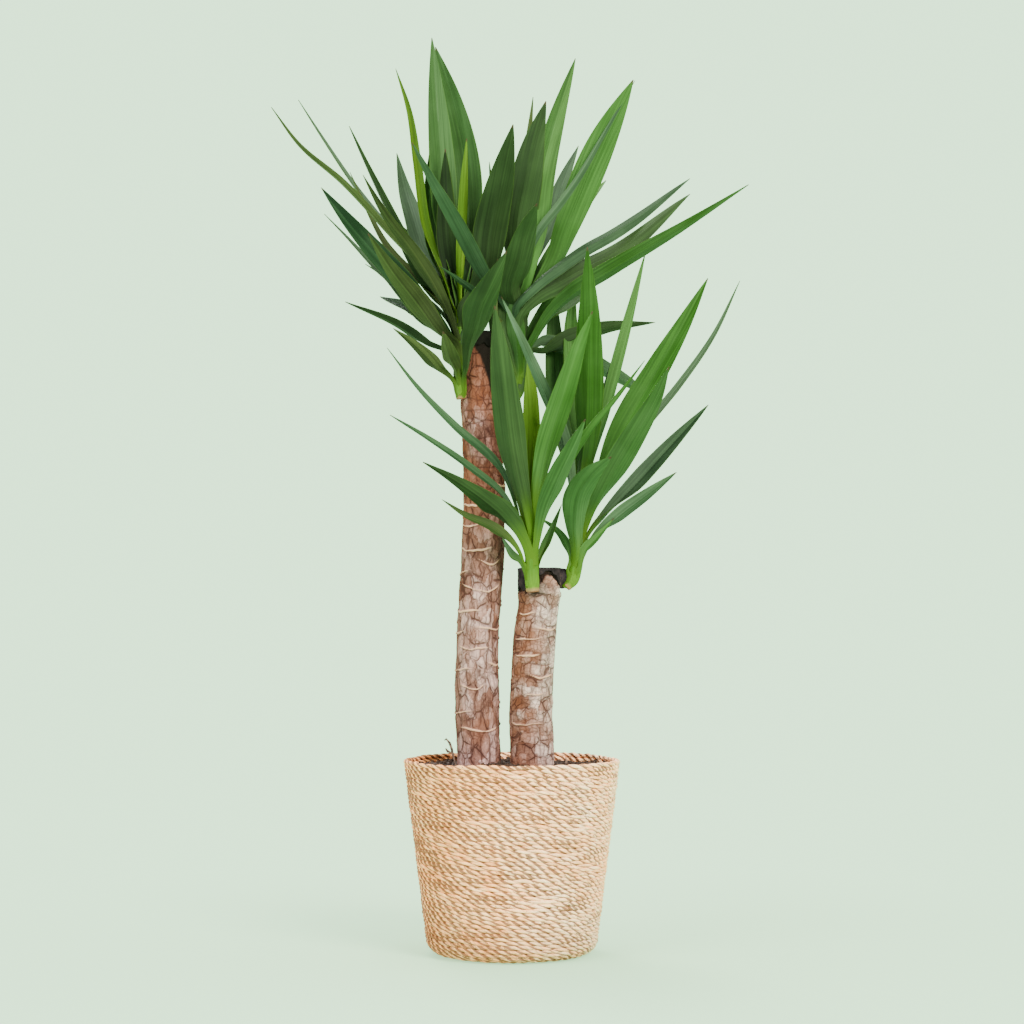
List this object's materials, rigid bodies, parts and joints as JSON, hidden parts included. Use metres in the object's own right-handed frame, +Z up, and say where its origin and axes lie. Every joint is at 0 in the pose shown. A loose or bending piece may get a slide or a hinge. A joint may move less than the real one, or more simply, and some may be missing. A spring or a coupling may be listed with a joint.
{
  "type": "potted yucca",
  "caption": "Indoor yucca with cut, wax-sealed canes and crowns of sword-shaped leaves, standing in a tapered pot woven from coiled seagrass rope.",
  "frame": {"origin": "centre of the pot's flat underside, on the floor", "axes": "+Z up along the pot's axis, +X to the right and -Y towards the viewer at the plant's front"},
  "size_m": [0.4592, 0.2961, 0.9],
  "materials": {
    "basket_seagrass": "matte twisted seagrass rope",
    "potting_soil": "matte loose peat soil",
    "cane_bark": "dry ringed bark",
    "pruning_wax": "satin dark wax",
    "shoot_green": "satin green shoot",
    "leaf_dark": "satin dark green leaf",
    "leaf_mid": "satin green leaf",
    "leaf_bright": "satin yellow-green leaf",
    "leaf_bluish": "satin blue-green leaf"
  },
  "bodies": {
    "root": {"basket": "basket_seagrass", "soil": "potting_soil", "tall_cane": "cane_bark", "short_cane": "cane_bark", "tall_cane_wax": "pruning_wax", "short_cane_wax": "pruning_wax", "upper_left_shoot": "shoot_green", "upper_right_shoot": "shoot_green", "lower_left_shoot": "shoot_green", "lower_right_shoot": "shoot_green", "leaf_ul_01": "leaf_mid", "leaf_ul_02": "leaf_dark", "leaf_ul_03": "leaf_dark", "leaf_ul_04": "leaf_dark", "leaf_ul_05": "leaf_mid", "leaf_ul_06": "leaf_dark", "leaf_ul_07": "leaf_dark", "leaf_ul_08": "leaf_dark", "leaf_ul_09": "leaf_mid", "leaf_ul_10": "leaf_mid", "leaf_ul_11": "leaf_dark", "leaf_ul_12": "leaf_mid", "leaf_ul_13": "leaf_dark", "leaf_ul_14": "leaf_dark", "leaf_ul_15": "leaf_bluish", "leaf_ul_16": "leaf_dark", "leaf_ul_17": "leaf_bright", "leaf_ul_18": "leaf_dark", "leaf_ul_19": "leaf_mid", "leaf_ul_20": "leaf_dark", "leaf_ur_01": "leaf_dark", "leaf_ur_02": "leaf_dark", "leaf_ur_03": "leaf_mid", "leaf_ur_04": "leaf_dark", "leaf_ur_05": "leaf_bluish", "leaf_ur_06": "leaf_bluish", "leaf_ur_07": "leaf_mid", "leaf_ur_08": "leaf_dark", "leaf_ur_09": "leaf_dark", "leaf_ur_10": "leaf_bright", "leaf_ur_11": "leaf_bright", "leaf_ur_12": "leaf_dark", "leaf_ll_01": "leaf_mid", "leaf_ll_02": "leaf_dark", "leaf_ll_03": "leaf_mid", "leaf_ll_04": "leaf_bluish", "leaf_ll_05": "leaf_bluish", "leaf_ll_06": "leaf_mid", "leaf_ll_07": "leaf_bright", "leaf_ll_08": "leaf_dark", "leaf_ll_09": "leaf_bright", "leaf_lr_01": "leaf_bluish", "leaf_lr_02": "leaf_bluish", "leaf_lr_03": "leaf_dark", "leaf_lr_04": "leaf_mid", "leaf_lr_05": "leaf_bluish", "leaf_lr_06": "leaf_bright", "leaf_lr_07": "leaf_bluish", "leaf_lr_08": "leaf_dark", "leaf_lr_09": "leaf_mid"}
  },
  "joints": []
}
